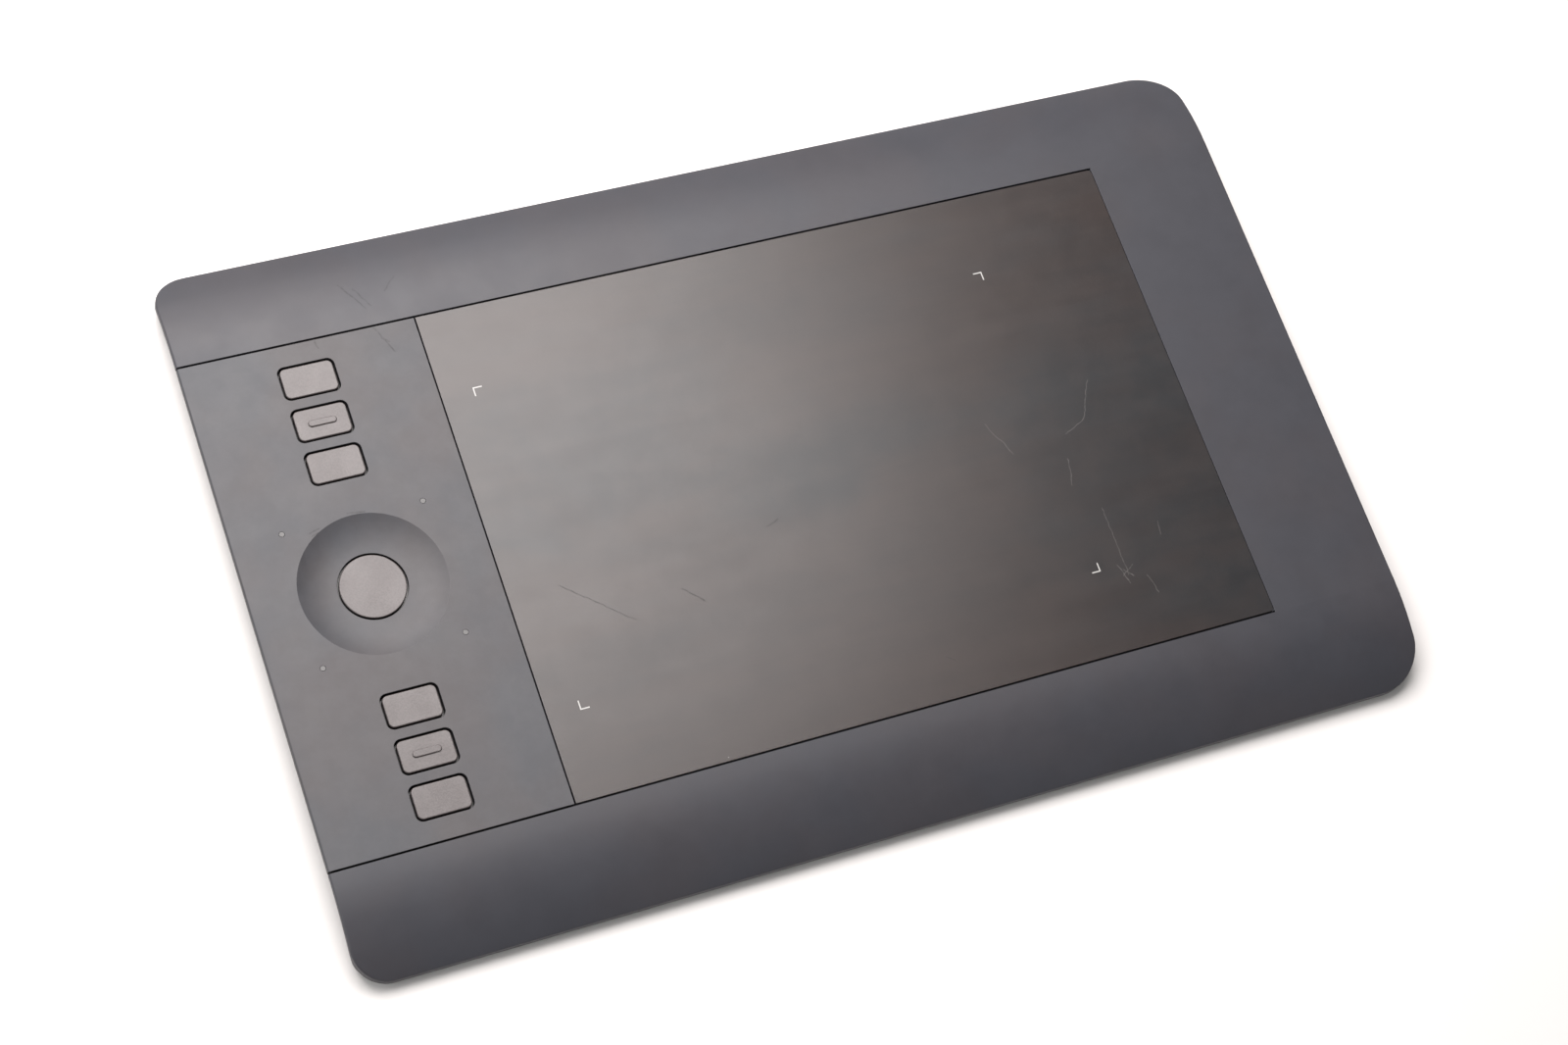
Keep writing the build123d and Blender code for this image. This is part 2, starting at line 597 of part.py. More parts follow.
def ribbon(points, plane, start, direction):
    """A flat cable: a line of points in a plane, thickened and made wide."""
    upper = [(a, b + CABLE_THICKNESS) for a, b in reversed(points)]
    face = make_face(plane * Polyline(*points, *upper, close=True))
    return Pos(*start) * extrude(face, CABLE_WIDTH, dir=direction)


def make_key_cable():
    cable_y = (MAIN_BOARD[2] + MAIN_BOARD[3]) / 2 + CABLE_WIDTH / 2
    points = [(KEY_BOARD[1], 7.1), (KEY_BOARD[1] + 4, 7.1), (MAIN_BOARD[0] - 3, 6.5), (MAIN_BOARD[0], 6.5)]
    return ribbon(points, Plane.XZ, (0, cable_y, 0), TO_FRONT)


def make_sensor_cable():
    socket = sensor_socket_span()[1]
    points = [(socket, 8.3), (socket + 4, 8.3), (-41, 6.5), (-36, 6.5)]
    return ribbon(points, Plane.YZ, (SENSOR_CABLE_X - CABLE_WIDTH / 2, 0, 0), TO_RIGHT)


def screw(x, y, head, shaft):
    """A screw as head and shaft, each given as radius, low and high."""
    return rod(x, y, *head) + rod(x, y, *shaft)


def make_board_screws():
    pieces = []
    for x, y in KEY_BOARD_SCREWS:
        head = (BOARD_SCREW_HEAD_R, KEY_BOARD_Z[0] - BOARD_SCREW_HEAD, KEY_BOARD_Z[0])
        shaft = (BOARD_SCREW_R, KEY_BOARD_Z[0], KEY_BOARD_Z[1] + BOARD_SCREW_DEPTH)
        pieces.append(screw(x, y, head, shaft))
    for x, y in main_board_screws():
        head = (BOARD_SCREW_HEAD_R, MAIN_BOARD_Z[1], MAIN_BOARD_Z[1] + BOARD_SCREW_HEAD)
        shaft = (BOARD_SCREW_R, MAIN_BOARD_Z[0] - BOARD_SCREW_DEPTH, MAIN_BOARD_Z[1])
        pieces.append(screw(x, y, head, shaft))
    return pieces


# ---- left end ----
def make_usb_shell():
    """Open-ended metal sleeve of the socket, with a closed back."""
    depth, width, height = USB_SHELL
    low = KEY_BOARD_Z[1] + 0.2
    x0 = -HALF_LENGTH + USB_INSET
    half = width / 2
    outer = block(x0, x0 + depth, USB_Y - half, USB_Y + half, low, low + height)
    edges = outer.edges().filter_by(Axis.X).group_by(Axis.Z)[0]
    outer = chamfer(edges, 0.7)
    inner = block(
        x0, x0 + depth - USB_WALL, USB_Y - half + USB_WALL, USB_Y + half - USB_WALL,
        low + USB_WALL, low + height - USB_WALL)
    inner = chamfer(inner.edges().filter_by(Axis.X).group_by(Axis.Z)[0], 0.6)
    feet = [block(x0 + 3, x0 + 5, USB_Y + side * 3 - 0.4, USB_Y + side * 3 + 0.4, low - 0.2, low + 0.9)
            for side in (-1, 1)]
    return joined([outer - inner] + feet)


def make_usb_tongue():
    """Plastic tongue that carries the socket's contacts."""
    depth = USB_SHELL[0]
    x0 = -HALF_LENGTH + USB_INSET
    middle = KEY_BOARD_Z[1] + 0.2 + USB_SHELL[2] / 2
    return block(x0 + 1.2, x0 + depth - USB_WALL, USB_Y - 1.9, USB_Y + 1.9, middle + 0.1, middle + 0.7)


def make_power_button():
    """Small oblong button flush with the end wall, with a flange inside and a plunger."""
    half_width, half_height = (side / 2 for side in POWER_CAP)
    cap = block(
        -HALF_LENGTH, LEFT_WALL_X + OVERLAP, POWER_Y - half_width, POWER_Y + half_width,
        POWER_Z - half_height, POWER_Z + half_height)
    cap = fillet(cap.edges().filter_by(Axis.X), POWER_CORNER_R)
    cap &= Pos(0, HALF_DEPTH, 0) * extrude(end_section(0), DEPTH, dir=TO_FRONT)
    inside = LEFT_WALL_X + OVERLAP
    flange = block(inside, inside + 0.7, POWER_Y - 4.3, POWER_Y + 4.3, 7.2, 10.3)
    return cap + flange + block(inside + 0.7, inside + 1.5, POWER_Y - 1, POWER_Y + 1, 7.2, 8.2)


def make_power_switch():
    start = LEFT_WALL_X + 1.6 + POWER_TRAVEL + 0.1
    return block(start, start + 2.8, POWER_Y - 2.2, POWER_Y + 2.2, KEY_BOARD_Z[1], 8.4)


def make_touch_switch_knob():
    """Slide knob: a small grip in the slot, a cover plate behind the wall and a stub."""
    grip = block(
        -HALF_LENGTH + 0.7, LEFT_WALL_X + OVERLAP, TOUCH_Y - 1.2, TOUCH_Y + 1.2,
        POWER_Z - 0.65, POWER_Z + 0.65)
    inside = LEFT_WALL_X + OVERLAP
    cover = block(inside, inside + 0.5, TOUCH_Y - 4.0, TOUCH_Y + 4.0, POWER_Z - 1.4, POWER_Z + 1.4)
    return grip + cover + block(inside + 0.5, inside + 1.6, TOUCH_Y - 0.7, TOUCH_Y + 0.7, 8.2, 9.6)


def make_touch_switch_body():
    """Switch case on the key board, with the groove that the knob's stub runs in."""
    start = LEFT_WALL_X + 1.2
    middle = TOUCH_Y - TOUCH_TRAVEL / 2
    case = block(start, start + 3.4, middle - 3.6, middle + 3.6, KEY_BOARD_Z[1], 10.0)
    return case - block(start, start + 0.9, middle - 2.2, middle + 2.2, 8.0, 9.8)


# ---- underside ----
def make_cover(bay):
    """Flat cover with four short legs and a grip of shallow grooves."""
    size = bay_size(bay, COVER_LIP - COVER_GAP)
    cover = plate(*bay[:2], size, BASE_Z, BASE_Z + COVER_THICKNESS, 1.8)
    cover = chamfer(cover.edges().group_by(Axis.Z)[0], 0.25)
    for x, y in leg_places(bay):
        cover += plate(x, y, (6.0, 1.0), BASE_Z + COVER_THICKNESS - 0.1, TRAY_LEDGE_TOP_Z - 0.2)
    for step in range(5):
        y = bay[1] - bay[3] / 2 + 2 + 1.4 * step
        cover -= plate(bay[0], y, (14.0 - 1.6 * step, 0.6), BASE_Z, BASE_Z + 0.4)
    return cover


def make_battery_cover():
    return make_cover(BATTERY_BAY)


def make_module_cover():
    return make_cover(MODULE_BAY)


def make_battery_pack():
    pack = plate(*BATTERY_BAY[:2], bay_size(BATTERY_BAY, -0.4), 2.6, 7.0)
    return fillet(pack.edges().filter_by(Axis.X), 1.6)


def contact_block(bay):
    """Moulded block with three sprung blades that reach through the bay's front wall."""
    wall_y = bay[1] - bay[3] / 2
    low, high = TRAY_LEDGE_TOP_Z, MAIN_BOARD_Z[0]
    pieces = [block(bay[0] - 6, bay[0] + 6, MAIN_BOARD[3] - 3, wall_y - 0.1, low, high)]
    for step in (-1, 0, 1):
        x = bay[0] + 3.2 * step
        pieces.append(block(x - 0.5, x + 0.5, wall_y - 0.1, wall_y + 0.3, low + 0.3, high - 0.2))
    return joined(pieces)


def make_battery_contacts():
    return contact_block(BATTERY_BAY)


def make_module_contacts():
    return contact_block(MODULE_BAY)


def make_wireless_module():
    """Radio module in a thin case with a stepped front edge."""
    x, y = MODULE_BAY[0], MODULE_BAY[1] - 9.6
    module = plate(x, y, (42.0, 24.0), 2.6, 6.6, 1.5)
    return module - block(x - 12, x + 12, y - 12, y - 9, 5.6, 6.6)


def make_receiver_body():
    return plate(MODULE_BAY[0] + 9, MODULE_BAY[1] + 12.4, (8.0, 16.0), 2.6, 6.6, 2.0)


def make_receiver_plug():
    """Hollow metal plug of the stored receiver."""
    x, y = MODULE_BAY[0] + 5, MODULE_BAY[1] + 12.4
    sleeve = block(x - 12, x, y - 6, y + 6, 2.6, 6.6)
    return sleeve - block(x - 12, x - 0.4, y - 5.6, y + 5.6, 4.6, 6.2)


def foot_places():
    return [(sx * FOOT_PLACE[0], sy * FOOT_PLACE[1]) for sx, sy in corner_signs()]


def make_feet():
    radius = FOOT_SIZE[1] / 2 - 0.01
    feet = [plate(x, y, FOOT_SIZE, 0, BASE_Z + FOOT_RECESS, radius) for x, y in foot_places()]
    return [fillet(foot.edges().group_by(Axis.Z)[0], 0.4) for foot in feet]


def make_case_screws():
    head = (SCREW_HEAD_R, *SCREW_HEAD_Z)
    shaft = (SCREW_R, SCREW_HEAD_Z[1], BOSS_SPLIT_Z + SCREW_DEPTH)
    pieces = []
    for x, y in mirrored_places(SCREW_PLACES):
        recess = Pos(x, y, SCREW_HEAD_Z[0]) * (Box(2.4, 0.5, 1.0) + Box(0.5, 2.4, 1.0))
        pieces.append(screw(x, y, head, shaft) - recess)
    return pieces


def make_rating_label():
    x, y, width, depth = LABEL
    return plate(x, y, (width, depth), BASE_Z + LABEL_RECESS - 0.12, BASE_Z + LABEL_RECESS, 2.0)


def all_nodes():
    nodes = {
        "top_case": make_top_case, "key_panel": make_key_panel, "bottom_case": make_bottom_case,
        "drawing_surface": make_drawing_surface, "corner_lights": make_corner_lights,
        "ring_button": make_ring_button, "ring_lights": make_ring_lights,
        "key_board": make_key_board, "key_switches": make_key_switches,
        "indicator_leds": make_indicator_leds, "ring_sensor_board": make_ring_sensor_board,
        "touch_sensor_sheet": make_touch_sensor_sheet, "sensor_board": make_sensor_board,
        "shield_plate": make_shield_plate, "main_board": make_main_board,
        "board_chips": make_board_chips, "cable_connectors": make_cable_connectors,
        "key_cable": make_key_cable, "sensor_cable": make_sensor_cable,
        "board_screws": make_board_screws, "usb_shell": make_usb_shell, "usb_tongue": make_usb_tongue,
        "power_button": make_power_button, "power_switch": make_power_switch,
        "touch_switch_knob": make_touch_switch_knob, "touch_switch_body": make_touch_switch_body,
        "battery_cover": make_battery_cover, "module_cover": make_module_cover,
        "battery_pack": make_battery_pack, "battery_contacts": make_battery_contacts,
        "module_contacts": make_module_contacts, "wireless_module": make_wireless_module,
        "receiver_body": make_receiver_body, "receiver_plug": make_receiver_plug,
        "feet": make_feet, "case_screws": make_case_screws, "rating_label": make_rating_label}
    for index in range(6):
        nodes[f"key_{index + 1}"] = lambda place=index: make_key(place)
    return nodes


if __name__ == "__main__":
    os.makedirs("parts", exist_ok=True)
    for name, make in all_nodes().items():
        shape = make()
        pieces = shape if isinstance(shape, list) else [shape]
        export_step(Compound(children=[solid for piece in pieces for solid in piece.solids()]),
                    f"parts/{name}.step")
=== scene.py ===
import json
import math

import bpy
from mathutils import Matrix, Vector

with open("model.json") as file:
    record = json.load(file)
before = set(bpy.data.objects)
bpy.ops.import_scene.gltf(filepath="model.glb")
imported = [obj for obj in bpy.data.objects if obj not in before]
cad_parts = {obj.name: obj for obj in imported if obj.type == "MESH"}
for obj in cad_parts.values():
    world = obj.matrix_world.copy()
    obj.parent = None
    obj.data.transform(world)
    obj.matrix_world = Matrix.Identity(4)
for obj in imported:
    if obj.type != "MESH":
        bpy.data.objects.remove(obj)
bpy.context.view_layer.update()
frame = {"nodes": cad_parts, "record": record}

MM = 0.001

# ---- camera, a short telephoto that looks down from the front left ----
CAMERA_PLACE = Vector((-0.2692, -0.2630, 0.7581))
CAMERA_TARGET = Vector((-0.01063, -0.01162, 0.012))
CAMERA_ROLL = math.radians(28.70)
CAMERA_LENS = 68.1
SENSOR_WIDTH = 36.0

# ---- light: one large softbox behind the tablet, weak fills in front and at the left ----
SOFTBOX_PLACE = Vector((-0.094, 0.354, 0.590))
SOFTBOX_SIZE = (0.68, 0.66)
SOFTBOX_POWER = 12.0
SOFTBOX_COLOUR = (1.05, 1.0, 0.985)
FRONT_FILL_PLACE = Vector((0.20, -0.90, 0.90))
FRONT_FILL_POWER = 1.0
LEFT_FILL_PLACE = Vector((-0.95, -0.10, 0.70))
LEFT_FILL_POWER = 6.0
FILL_SIZE = (1.1, 1.1)
FILL_COLOUR = (1.0, 1.0, 1.0)
LIGHT_TARGET = Vector((0.0, 0.0, 0.0))
WORLD_COLOUR = (1.0, 0.99, 0.98)
WORLD_STRENGTH = 0.20

# ---- colours, linear, and what goes with them ----
FLOOR_COLOUR = (0.72, 0.71, 0.70)
FLOOR_SIZE = 4.0
FLOOR_ROUGHNESS = 0.9
FLOOR_SPECULAR = 0.2
FLOOR_Z = -0.02 * MM  # just under the feet, so that floor and feet don't share a plane
CASE_COLOUR = (0.030, 0.030, 0.037)
BASE_COLOUR = (0.024, 0.024, 0.027)
PANEL_COLOUR = (0.036, 0.035, 0.040)
KEY_COLOUR = (0.066, 0.056, 0.056)
SHEET_COOL = (0.0155, 0.0162, 0.0182)
SHEET_WARM = (0.0262, 0.0198, 0.0184)
SHEET_LEAST_ROUGHNESS = 0.282  # a smoother sheet is denoised in patches with hard outlines
# near-black painted shade for walls down in gaps and for the keys' parts under the panel
GAP_SHADE = (0.006, 0.006, 0.006)
DUST_COLOUR = (0.30, 0.29, 0.28)
SCRATCH_PALE = (0.16, 0.15, 0.145)
SCRATCH_DARK = (0.008, 0.008, 0.008)
SPECK_RADIUS = 0.13 * MM
WHITE_LENS = ((0.34, 0.34, 0.33), (0.44, 0.44, 0.43))
SMOKE_LENS = ((0.030, 0.030, 0.032), (0.050, 0.049, 0.049))
SOLDER_MASK = (0.010, 0.085, 0.040)
COPPER_TRACK = (0.030, 0.150, 0.060)
RUBBER = ((0.028, 0.028, 0.030), (0.048, 0.048, 0.050))

# ---- painted shade in the gaps: upright faces are painted dark up to the first height and clear from their gap's top, ----
# ---- and a key or the button is painted dark all over below the last height, as shade where it sits under
# the panel ----
GAP_DARK_BELOW = 10.9 * MM
PANEL_GAP_TOP = 11.7 * MM
KEY_GAP_TOP = 11.6 * MM
KEY_DARK_BELOW = 9.4 * MM

# ---- wear, given in millimetres from the tablet's middle ----
# A line is (start, end); a patch is (centre, half widths).
SHEET_PALE_LINES = (
    ((81.6, -31.0), (81.9, -52.0)), ((79.3, -48.6), (81.2, -54.4)), ((84.0, -49.6), (79.8, -51.8)),
    ((80.4, -50.0), (83.2, -52.6)), ((87.0, -53.6), (88.5, -59.6)), ((77.6, -14.0), (75.6, -22.0)),
    ((92.4, 8.2), (87.0, -3.0)), ((87.0, -3.0), (80.0, -6.2)), ((57.0, 2.4), (62.2, -8.4)),
    ((96.4, -38.6), (95.8, -43.0)))
SHEET_DARK_LINES = (
    ((-77.4, -13.6), (-60.4, -28.2)), ((20.6, -61.2), (22.6, -62.8)), ((-16.0, -11.2), (-12.0, -10.4)),
    ((-45.0, -23.0), (-40.0, -28.0)))
PANEL_DARK_LINES = (
    ((-138.6, 18.2), (-135.6, 19.0)), ((-127.0, 21.3), (-122.4, 20.7)), ((-138.0, 17.2), (-136.4, 17.8)),
    ((-104.4, 73.2), (-100.8, 64.8)), ((-103.2, 69.6), (-101.4, 68.0)), ((-121.6, 73.0), (-121.0, 70.6)))
CASE_DARK_LINES = (
    ((-110.0, 89.0), (-104.6, 79.4)), ((-106.4, 86.6), (-103.0, 80.0)), ((-98.0, 84.0), (-94.0, 88.0)))
COOL_PATCHES = (
    ((-52.0, 26.0), (58.0, 34.0)), ((8.0, 6.0), (62.0, 26.0)), ((-84.0, 0.0), (18.0, 10.0)),
    ((112.0, -20.0), (66.0, 90.0)))
DARK_PATCHES = (((28.0, 8.0), (50.0, 24.0)), ((38.0, -40.0), (36.0, 24.0)), ((100.0, -30.0), (50.0, 60.0)))


# ---- node helpers ----
class Shader:
    """A material's node tree, with short calls for the nodes used here.

    Lengths are in metres, except where a call says millimetres.
    """

    def __init__(self, name):
        self.material = bpy.data.materials.new(name)
        self.material.use_nodes = True
        self.tree = self.material.node_tree
        self.surface = self.tree.nodes["Principled BSDF"]
        self.place = self.add("ShaderNodeTexCoord").outputs["Object"]

    def add(self, kind, **settings):
        node = self.tree.nodes.new(kind)
        for key, value in settings.items():
            setattr(node, key, value)
        return node

    def link(self, source, socket):
        self.tree.links.new(source, socket)

    def set(self, **values):
        """Sets the surface shader's own sockets; an underscore in a name stands for a space."""
        for key, value in values.items():
            self.surface.inputs[key.replace("_", " ")].default_value = value

    def drive(self, socket, source):
        self.link(source, self.surface.inputs[socket])

    def stretched(self, scale, turn=0.0):
        node = self.add("ShaderNodeMapping")
        node.inputs["Scale"].default_value = scale
        node.inputs["Rotation"].default_value = (0.0, 0.0, turn)
        self.link(self.place, node.inputs["Vector"])
        return node.outputs["Vector"]

    def noise(self, size, detail=3.0, roughness=0.5, vector=None):
        """Noise whose features are about size across."""
        node = self.add("ShaderNodeTexNoise")
        node.inputs["Scale"].default_value = 1.0 / size
        node.inputs["Detail"].default_value = detail
        node.inputs["Roughness"].default_value = roughness
        self.link(vector or self.place, node.inputs["Vector"])
        return node.outputs["Fac"]

    def remap(self, value, low, high, new_low, new_high):
        node = self.add("ShaderNodeMapRange", interpolation_type="SMOOTHSTEP")
        for key, number in zip(("From Min", "From Max", "To Min", "To Max"), (low, high, new_low, new_high)):
            node.inputs[key].default_value = number
        self.link(value, node.inputs["Value"])
        return node.outputs["Result"]

    def math(self, operation, first, second):
        node = self.add("ShaderNodeMath", operation=operation)
        for socket, value in zip(node.inputs, (first, second)):
            if isinstance(value, (int, float)):
                socket.default_value = value
            else:
                self.link(value, socket)
        return node.outputs["Value"]

    def mix(self, factor, first, second):
        """Mixes two colours, each an output or a tuple."""
        node = self.add("ShaderNodeMix", data_type="RGBA")
        self.link(factor, node.inputs["Factor"])
        for name, value in (("A", first), ("B", second)):
            socket = next(s for s in node.inputs if s.name == name and s.type == "RGBA")
            if isinstance(value, tuple):
                socket.default_value = (*value, 1.0)
            else:
                self.link(value, socket)
        return next(s for s in node.outputs if s.type == "RGBA")

    def bump(self, height, depth, below=None):
        node = self.add("ShaderNodeBump")
        node.inputs["Strength"].default_value = 1.0
        node.inputs["Distance"].default_value = depth
        self.link(height, node.inputs["Height"])
        if below:
            self.link(below, node.inputs["Normal"])
        return node.outputs["Normal"]

    def eased_edges(self, radius):
        """Normals that run smoothly over edges, as if these had a small radius."""
        node = self.add("ShaderNodeBevel", samples=4)
        node.inputs["Radius"].default_value = radius
        return node.outputs["Normal"]

    def specks(self, spacing, radius, share):
        """Small round dots, one in some of the cells of a loose grid."""
        cells = self.add("ShaderNodeTexVoronoi")
        cells.inputs["Scale"].default_value = 1.0 / spacing
        self.link(self.place, cells.inputs["Vector"])
        near = self.math("LESS_THAN", cells.outputs["Distance"], radius / spacing)
        chosen = self.add("ShaderNodeSeparateColor")
        self.link(cells.outputs["Color"], chosen.inputs["Color"])
        return self.math("MULTIPLY", near, self.math("LESS_THAN", chosen.outputs["Red"], share))

    def vector(self, operation, first, second, output="Vector"):
        node = self.add("ShaderNodeVectorMath", operation=operation)
        sockets = (node.inputs[0], node.inputs["Scale"] if operation == "SCALE" else node.inputs[1])
        for socket, value in zip(sockets, (first, second)):
            if isinstance(value, bpy.types.NodeSocket):
                self.link(value, socket)
            else:
                socket.default_value = value
        return node.outputs[output]

    def wavering(self, size, reach):
        """The place, seen from above and shifted about by up to reach, so that lines are not ruled."""
        noise = self.add("ShaderNodeTexNoise")
        noise.inputs["Scale"].default_value = 1.0 / size
        self.link(self.place, noise.inputs["Vector"])
        shift = self.vector("SUBTRACT", noise.outputs["Color"], (0.5, 0.5, 0.5))
        moved = self.vector("ADD", self.place, self.vector("SCALE", shift, 2 * reach))
        return self.vector("MULTIPLY", moved, (1.0, 1.0, 0.0))

    def lines(self, ends, width, place):
        """Thin lines, each between two points in millimetres."""
        total = None
        for start, end in ends:
            first = Vector((*start, 0.0)) * MM
            along = Vector((*end, 0.0)) * MM - first
            offset = self.vector("SUBTRACT", place, first)
            run = self.vector("DOT_PRODUCT", offset, along.normalized(), "Value")
            held = self.math("MINIMUM", self.math("MAXIMUM", run, 0.0), along.length)
            beside = self.vector("DISTANCE", offset, self.vector("SCALE", along.normalized(), held), "Value")
            line = self.remap(beside, 0.2 * width, width, 1.0, 0.0)
            total = self.math("MAXIMUM", total, line) if total else line
        return self.math("MULTIPLY", total, self.remap(self.noise(0.8 * MM, 2.0), 0.3, 0.6, 0.35, 1.0))

    def patches(self, ovals, place):
        """Soft-edged ovals, each a centre and two half widths in millimetres."""
        total = None
        for centre, halves in ovals:
            offset = self.vector("SUBTRACT", place, Vector((*centre, 0.0)) * MM)
            scaled = self.vector("MULTIPLY", offset, (1 / (halves[0] * MM), 1 / (halves[1] * MM), 0.0))
            oval = self.remap(self.vector("LENGTH", scaled, (0.0, 0.0, 0.0), "Value"), 0.25, 1.15, 1.0, 0.0)
            total = self.math("MAXIMUM", total, oval) if total else oval
        return total

    def painted_gap_shade(self, low, high, all_below=0.0):
        """Mask for painted shade: one on upright faces up to low, fading to zero at high; one on every face
        under all_below.
        """
        facing = self.add("ShaderNodeSeparateXYZ")
        self.link(self.add("ShaderNodeNewGeometry").outputs["True Normal"], facing.inputs["Vector"])
        upright = self.math("LESS_THAN", self.math("ABSOLUTE", facing.outputs["Z"], 0.0), 0.5)
        height = self.add("ShaderNodeSeparateXYZ")
        self.link(self.place, height.inputs["Vector"])
        sides = self.math("MULTIPLY", upright, self.remap(height.outputs["Z"], low, high, 1.0, 0.0))
        return self.math("MAXIMUM", sides, self.math("LESS_THAN", height.outputs["Z"], all_below))


def shade(colour, factor):
    return tuple(channel * factor for channel in colour)


# ---- materials ----
def moulded_plastic(
        name, colour, roughness, grain=0.28 * MM, depth=0.010 * MM, dust=0.25, soiling=0.25, marks=()):
    """Fine matte moulded plastic: even grain, faint smudges, a little dust and, where given, dark marks.

    The finished colour stays in the shader's tone, for a material that adds to it.
    """
    s = Shader(name)
    smudge = s.noise(13 * MM, 5.0, 0.62)
    mottle = s.noise(3.5 * MM, 3.0, 0.6)
    warmth = s.noise(30 * MM, 3.0, 0.5)
    cool = (colour[0] * (1 - 0.4 * soiling), colour[1], colour[2] * (1 + 0.2 * soiling))
    warm = (colour[0] * (1 + 0.3 * soiling), colour[1], colour[2] * (1 - 0.2 * soiling))
    tone = s.mix(s.remap(warmth, 0.35, 0.65, 0.0, 1.0), cool, warm)
    tone = s.mix(s.remap(smudge, 0.3, 0.7, 0.0, soiling), tone, shade(colour, 0.4))
    tone = s.mix(s.remap(mottle, 0.35, 0.65, 0.0, 0.4 * soiling), tone, shade(colour, 2.0))
    s.tone = s.mix(s.specks(14 * MM, SPECK_RADIUS, dust), tone, DUST_COLOUR)
    worn = s.remap(smudge, 0.3, 0.75, roughness + 0.03, roughness - 0.03)
    if marks:
        place = s.wavering(2.5 * MM, 0.5 * MM)
        dark = s.lines(marks, 0.30 * MM, place)
        s.tone = s.mix(s.math("MULTIPLY", dark, 0.45), s.tone, SCRATCH_DARK)
        worn = s.math("ADD", worn, s.math("MULTIPLY", dark, 0.08))
    s.drive("Base Color", s.tone)
    s.drive("Roughness", worn)
    s.drive("Normal", s.bump(s.noise(grain, 2.0), depth, s.eased_edges(0.15 * MM)))
    return s


def key_panel_plastic():
    """The panel's plastic, with painted shade on the walls down in its holes."""
    s = moulded_plastic("panel_plastic", PANEL_COLOUR, 0.50, marks=PANEL_DARK_LINES)
    # painted shade: the hole walls are darkened down in the holes
    s.drive("Base Color", s.mix(s.painted_gap_shade(GAP_DARK_BELOW, PANEL_GAP_TOP), s.tone, GAP_SHADE))
    return s


def drawing_sheet():
    """Worn textured sheet: long streaks from the hand, warm and cool patches, fine scratches."""
    s = Shader("surface_sheet")
    loose = s.wavering(50 * MM, 26 * MM)
    streaks = s.noise(20 * MM, 4.0, 0.55, s.stretched((0.22, 1.0, 1.0), math.radians(3)))
    smears = s.noise(5 * MM, 4.0, 0.6, s.stretched((0.10, 1.0, 1.0), math.radians(-2)))
    warmth = s.math("SUBTRACT", s.remap(streaks, 0.25, 0.75, 0.15, 1.25), s.patches(COOL_PATCHES, loose))
    tone = s.mix(s.remap(warmth, -0.6, 1.0, 0.0, 1.0), SHEET_COOL, SHEET_WARM)
    tone = s.mix(s.math("MULTIPLY", s.patches(DARK_PATCHES, loose), 0.25), tone, shade(SHEET_COOL, 0.7))
    tone = s.mix(s.remap(smears, 0.3, 0.7, 0.0, 0.2), tone, shade(SHEET_COOL, 0.6))
    tone = s.mix(s.remap(s.noise(9 * MM, 4.0, 0.6), 0.35, 0.65, 0.0, 0.2), tone, shade(SHEET_WARM, 1.3))
    tone = s.mix(s.specks(17 * MM, SPECK_RADIUS, 0.3), tone, DUST_COLOUR)
    place = s.wavering(3 * MM, 0.8 * MM)
    tone = s.mix(s.math("MULTIPLY", s.lines(SHEET_PALE_LINES, 0.14 * MM, place), 0.5), tone, SCRATCH_PALE)
    dark = s.lines(SHEET_DARK_LINES, 0.18 * MM, place)
    s.drive("Base Color", s.mix(s.math("MULTIPLY", dark, 0.8), tone, SCRATCH_DARK))
    handled = s.remap(streaks, 0.25, 0.75, 0.334, 0.298)
    worn = s.math("ADD", handled, s.remap(smears, 0.3, 0.7, 0.008, -0.008))
    worn = s.math("ADD", worn, s.remap(s.noise(11 * MM, 5.0, 0.65), 0.3, 0.7, 0.012, -0.012))
    worn = s.math("ADD", worn, s.math("MULTIPLY", dark, 0.25))
    s.drive("Roughness", s.math("MAXIMUM", worn, SHEET_LEAST_ROUGHNESS))
    tooth = s.bump(s.noise(0.24 * MM, 2.0), 0.007 * MM, s.eased_edges(0.12 * MM))
    s.drive("Normal", s.bump(s.noise(1.1 * MM, 3.0, 0.6), 0.010 * MM, tooth))
    return s


def key_plastic():
    """Lighter satin plastic with a coarser leathery grain, with painted shade down in the gaps."""
    s = Shader("key_plastic")
    grain = s.noise(0.42 * MM, 3.0, 0.6)
    tone = s.mix(s.remap(grain, 0.35, 0.65, 0.0, 1.0), shade(KEY_COLOUR, 0.86), shade(KEY_COLOUR, 1.12))
    # painted shade: key sides dark down in the gap, and the whole key dark below the last height
    gaps = s.painted_gap_shade(GAP_DARK_BELOW, KEY_GAP_TOP, KEY_DARK_BELOW)
    s.drive("Base Color", s.mix(gaps, tone, GAP_SHADE))
    s.drive("Roughness", s.remap(s.noise(7 * MM, 3.0), 0.3, 0.7, 0.38, 0.31))
    s.drive("Normal", s.bump(grain, 0.026 * MM))
    return s


def lens(name, colours, size, roughness):
    """Cloudy plastic of a light guide, between two colours."""
    s = Shader(name)
    s.drive("Base Color", s.mix(s.noise(size, 2.0), *colours))
    s.set(Roughness=roughness)
    return s


def circuit_board():
    """Green solder mask over fine copper tracks."""
    s = Shader("circuit_board")
    tracks = s.add("ShaderNodeTexBrick")
    tracks.inputs["Scale"].default_value = 1.0 / (9 * MM)
    tracks.inputs["Mortar Size"].default_value = 0.03
    s.link(s.place, tracks.inputs["Vector"])
    on_track = tracks.outputs["Fac"]
    s.drive("Base Color", s.mix(on_track, SOLDER_MASK, COPPER_TRACK))
    s.drive("Roughness", s.remap(s.noise(3 * MM), 0.3, 0.7, 0.28, 0.38))
    s.drive("Normal", s.bump(on_track, 0.03 * MM))
    return s


